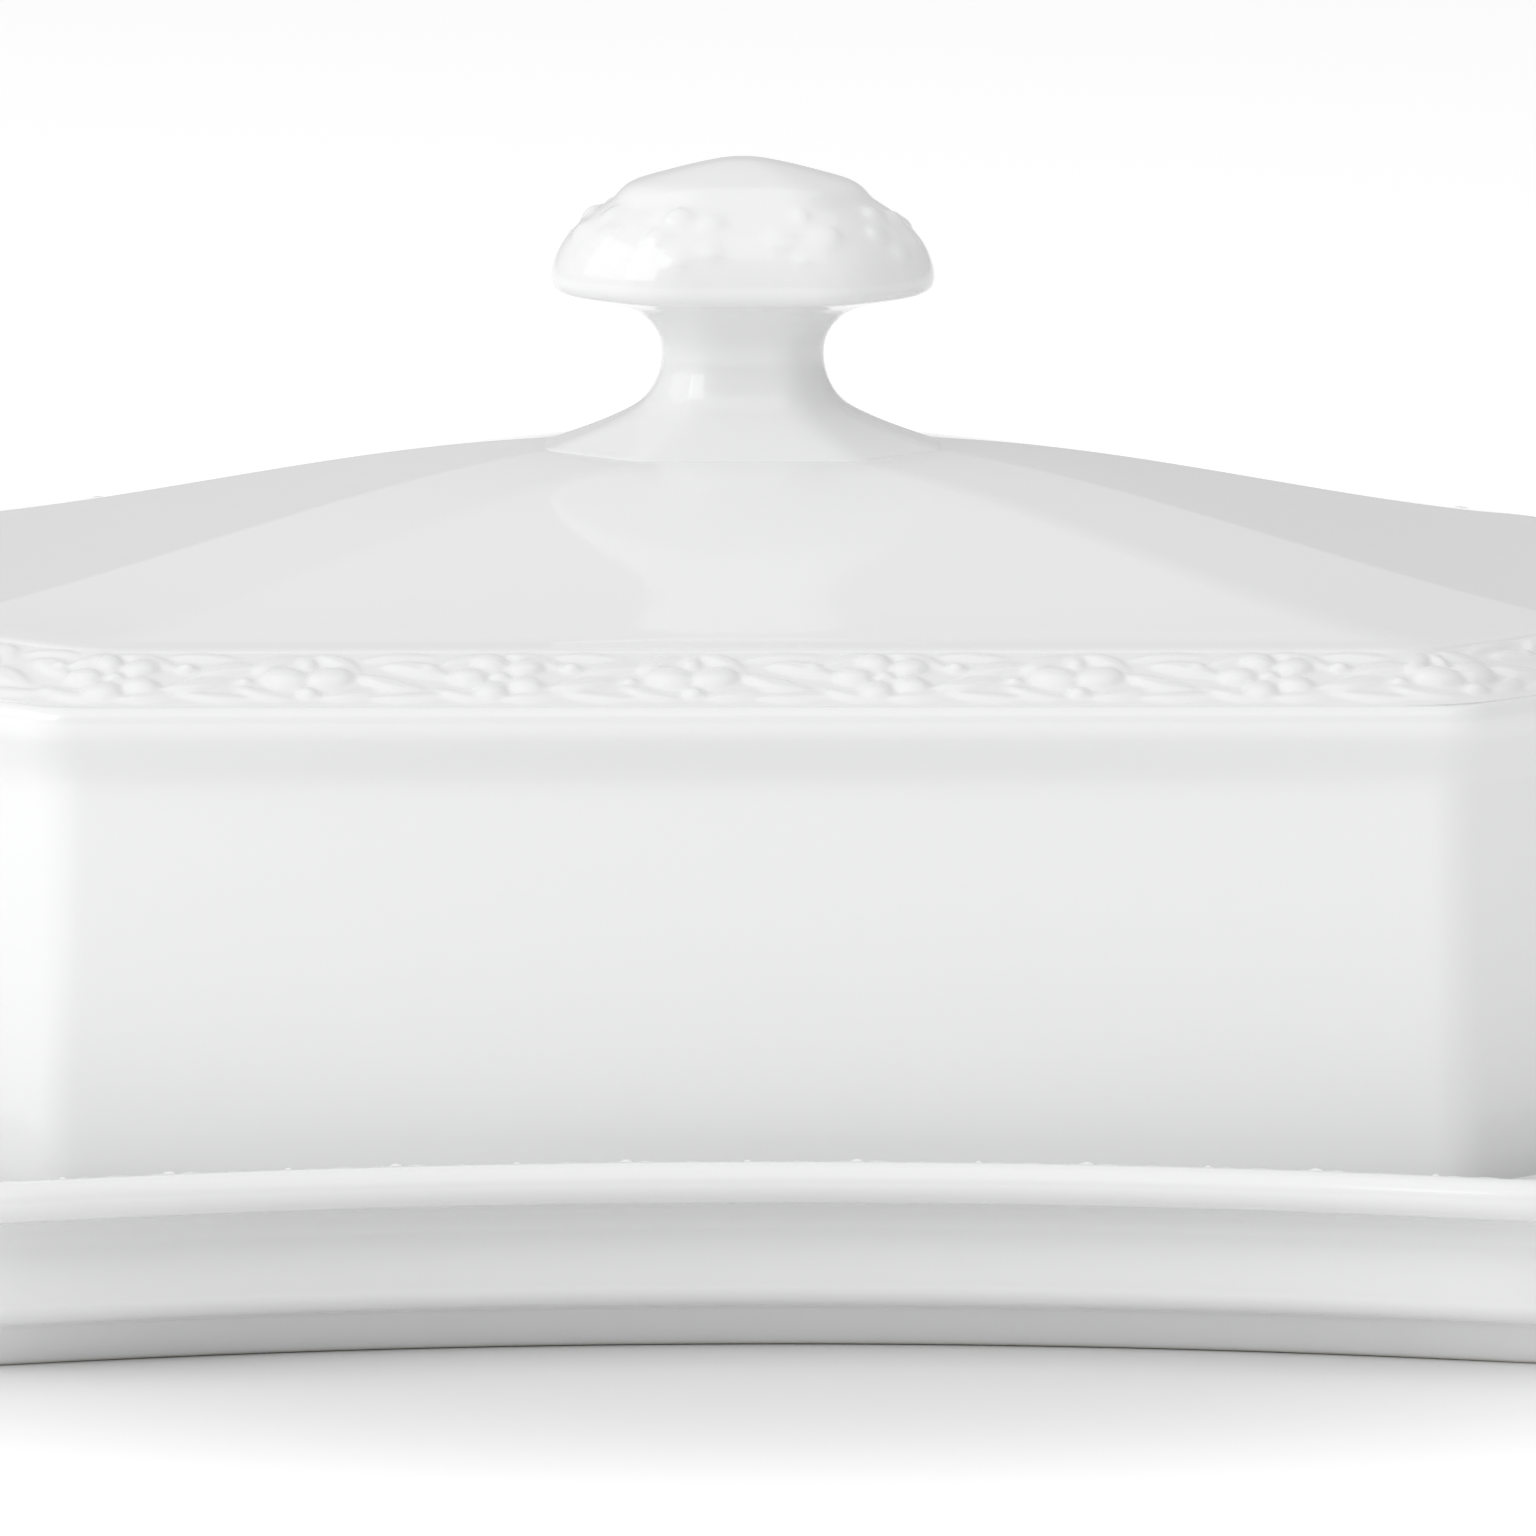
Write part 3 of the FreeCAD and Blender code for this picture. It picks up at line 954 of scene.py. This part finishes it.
@dataclass
class Knob:
    """The knob: low pad, waisted neck and a flared cap with soft relief, modelled as one lump of clay.

    Its profiles are pairs of a half width and a height.
    """

    pad: Profile = field(default_factory=lambda: [
        (16.2, 62.1), (16.3, 62.6), (16.1, 62.95), (15.6, 63.15), (15.0, 63.3), (14.2, 63.6)])
    neck: Profile = field(default_factory=lambda: [
        (14.2, 63.6), (12.2, 64.35), (9.9, 65.4), (8.1, 66.5), (6.9, 68.3), (6.45, 70.5), (6.9, 72.4),
        (8.3, 73.85)])
    cap: Profile = field(default_factory=lambda: [
        (8.3, 73.85), (10.4, 74.6), (13.3, 75.15), (14.9, 75.5), (15.4, 76.1), (15.4, 77.0), (15.05, 78.3),
        (14.2, 79.8), (12.6, 81.4), (11.2, 82.35), (10.4, 82.85)])
    dome: Profile = field(default_factory=lambda: [
        (10.4, 82.85), (10.0, 83.4), (9.3, 84.02), (8.3, 84.45), (6.5, 84.95), (4.2, 85.55), (2.0, 86.02),
        (0.8, 86.18)])
    squash: float = 0.62
    deepen: float = 1.2
    cant: float = 0.44
    underside: tuple[float, float] = (14.0, 62.1)
    voxel: float = 0.23
    softness: int = 24
    rounding_at_pad: float = 0.18
    rounding_above: float = 0.56
    rounding_from: float = 64.0
    rounding_over: float = 3.0
    relief_foot: tuple[float, float] = (14.6, 79.1)
    relief_head: tuple[float, float] = (12.1, 81.8)
    relief_share: float = 0.6
    relief_sink: float = 0.15
    relief_count: int = 16
    relief_scale: tuple[float, float, float, float] = (0.86, 0.72, 0.42, 1.0)

    def outline(self, width: float, height: float) -> CantedOutline:
        """Section of a given half width: an octagon at the pad, rounder in the neck and the cap."""
        rise = min(max((height - self.rounding_from) / self.rounding_over, 0.0), 1.0)
        radius = width * (self.rounding_at_pad + rise * (self.rounding_above - self.rounding_at_pad))
        return CantedOutline(width, self.squash * width + self.deepen, self.cant * width, radius, radius)

    def rings(self) -> list[Ring]:
        """Rings from the middle of the pad's underside to the top of the dome."""
        levels = [self.underside]
        levels += softened(self.pad, 2) + softened(self.neck, 2)[1:]
        levels += softened(self.cap, 2)[1:] + softened(self.dome, 2)[1:]
        return [self.outline(width, height).ring(height) for width, height in levels]

    def relief(self) -> list[bpy.types.Object]:
        """Small ornaments and sprigs that take turns round the flare of the cap and lie against it."""
        ornament = Ornament()
        sources = []
        for name, add in (("cap_fruit", lambda: ornament.fruit(0.0, False)), ("cap_sprig", ornament.sprig),
                          ("cap_rosette", lambda: ornament.rosette(0.0, False)), ("cap_bud", ornament.sprig)):
            add()
            sources.append(ornament.gathered(name))
        foot = from_front(self.outline(*self.relief_foot).ring(self.relief_foot[1]))
        head = from_front(self.outline(*self.relief_head).ring(self.relief_head[1]))
        placed = []
        for turn in range(self.relief_count):
            share = (turn + 1.0) / self.relief_count % 1.0
            low, tangent = spot_on(foot, sum(runs(foot)) * share)
            high, _ = spot_on(head, sum(runs(head)) * share)
            facing = tangent.cross((high - low).normalized()).normalized()
            spot = low.lerp(high, self.relief_share) - facing * self.relief_sink
            against = Matrix((tangent, facing.cross(tangent), facing)).transposed().to_4x4()
            copy = copied(sources[turn % len(sources)], "cap_ornament")
            copy.matrix_world = Matrix.Translation(spot * MM) @ against @ Matrix.Diagonal(self.relief_scale)
            placed.append(settled(copy))
        for source in sources:
            removed(source)
        return placed

    def build(self) -> bpy.types.Object:
        """Models and dresses the knob.

        Returns:
            The piece.
        """
        knob = drawn_out("knob", self.rings(), 2)
        knob = joined("knob", [knob, *self.relief()])
        finished(knob, "REMESH", mode="VOXEL", voxel_size=self.voxel * MM)
        finished(knob, "SMOOTH", factor=0.5, iterations=self.softness)
        bpy.ops.object.shade_smooth()
        material = PorcelainGlaze().material("knob_glaze")
        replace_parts(dressed(knob, material, Body.LID), "lid_knob")
        return knob


# ------------------------------------------------------------------------------------------
# Studio
# ------------------------------------------------------------------------------------------


@dataclass(frozen=True)
class SoftBox:
    """A soft box: its name, its place and its width and height in metres, and its power in watts."""

    name: str
    place: tuple[float, float, float]
    size: tuple[float, float]
    watts: float


@dataclass
class Studio:
    """White floor, soft lights and the camera at the front, a little above the dish.

    The floor's size, the soft boxes' aim and the clip distances are in metres.
    """

    distance: float = 1500.0
    elevation: float = 8.0
    azimuth: float = -1.3
    target: tuple[float, float, float] = (2.1, 0.0, 36.7)
    lens: float = 436.0
    roll: float = 0.12
    film: float = 36.0
    clip: tuple[float, float] = (0.05, 100.0)
    floor_size: float = 60.0
    sky_strength: float = 0.60
    open_sky: tuple[float, float, float, float] = (1.0, 1.0, 1.0, 1.0)
    right_wall: tuple[float, float, float, float] = (0.84, 0.84, 0.84, 1.0)
    right_span: tuple[float, float] = (0.15, 0.85)
    front_wall: tuple[float, float, float, float] = (0.50, 0.50, 0.50, 1.0)
    front_span: tuple[float, float] = (0.78, 0.98)
    aim: tuple[float, float, float] = (0.0, 0.0, 0.04)
    boxes: tuple[SoftBox, ...] = (
        SoftBox("side_box", (-1.6, -0.3, 0.9), (1.2, 1.2), 4.2),
        SoftBox("front_box", (-1.3, -1.2, 1.0), (1.2, 1.2), 8.4),
        SoftBox("high_box", (0.0, -1.3, 1.5), (1.6, 1.0), 3.0),
        SoftBox("top_box", (0.0, 0.0, 1.7), (1.8, 1.6), 4.4))

    def camera(self) -> None:
        """Makes the camera."""
        data = bpy.data.cameras.new("camera")
        data.lens = self.lens
        data.sensor_width = self.film
        data.clip_start, data.clip_end = self.clip
        camera = bpy.data.objects.new("camera", data)
        bpy.context.scene.collection.objects.link(camera)
        swing, rise = math.radians(self.azimuth), math.radians(self.elevation)
        back = Vector((math.sin(swing) * math.cos(rise), -math.cos(swing) * math.cos(rise), math.sin(rise)))
        camera.location = (Vector(self.target) + back * self.distance) * MM
        camera.rotation_mode = "QUATERNION"
        upright = (-back).to_track_quat("-Z", "Y")
        turned = Matrix.Rotation(math.radians(self.roll), 3, "Z").to_quaternion()
        camera.rotation_quaternion = upright @ turned
        bpy.context.scene.camera = camera

    def light(self, box: SoftBox) -> None:
        """Adds a soft box that faces the dish.

        Args:
            box: Its name, place, size and power.
        """
        data = bpy.data.lights.new(box.name, "AREA")
        data.shape = "RECTANGLE"
        data.size, data.size_y = box.size
        data.energy = box.watts
        lamp = bpy.data.objects.new(box.name, data)
        bpy.context.scene.collection.objects.link(lamp)
        lamp.location = box.place
        lamp.rotation_mode = "QUATERNION"
        lamp.rotation_quaternion = (Vector(self.aim) - lamp.location).to_track_quat("-Z", "Y")

    def sky(self) -> None:
        """Makes the white room light, greyer towards the right-hand wall and straight in front."""
        world = bpy.data.worlds.new("studio")
        graph = Graph(world, "Background")
        direction = graph.node("ShaderNodeTexCoord", {}, {}, "Generated")
        rightward = graph.node("ShaderNodeSeparateXYZ", {}, {0: direction}, "X")
        forward = graph.node("ShaderNodeSeparateXYZ", {}, {0: direction}, "Y") * -1.0
        colour = graph.mixed(graph.ramp(rightward, *self.right_span), self.open_sky, self.right_wall)
        colour = graph.mixed(graph.ramp(forward, *self.front_span), colour, self.front_wall)
        graph.feed(graph.shader.inputs["Color"], colour)
        graph.shader.inputs["Strength"].default_value = self.sky_strength
        bpy.context.scene.world = world

    def build(self) -> None:
        """Sets up the floor, the sky, the lights and the camera."""
        floor = added(bpy.ops.mesh.primitive_plane_add, "floor", size=self.floor_size)
        floor.data.materials.append(StudioFloor().material())
        self.sky()
        for box in self.boxes:
            self.light(box)
        self.camera()
        bpy.context.scene.view_settings.view_transform = "Standard"


def report(pieces: Iterable[bpy.types.Object]) -> None:
    """Logs the size and face count of each piece."""
    for piece in pieces:
        size = ", ".join(f"{side / MM:.1f}" for side in piece.dimensions)
        LOG.info("%s: %s mm, %d faces", piece.name, size, len(piece.data.polygons))


def main() -> None:
    """Builds the dish and its studio in order."""
    logging.basicConfig(level=logging.INFO, format="%(name)s %(message)s")
    pieces = Tray().build(Garland(grain=0.34, softness=3, flatness=1.0))
    pieces += Lid().build(Garland())
    pieces.append(Knob().build())
    Studio().build()
    report(pieces)


if __name__ == "__main__":
    main()
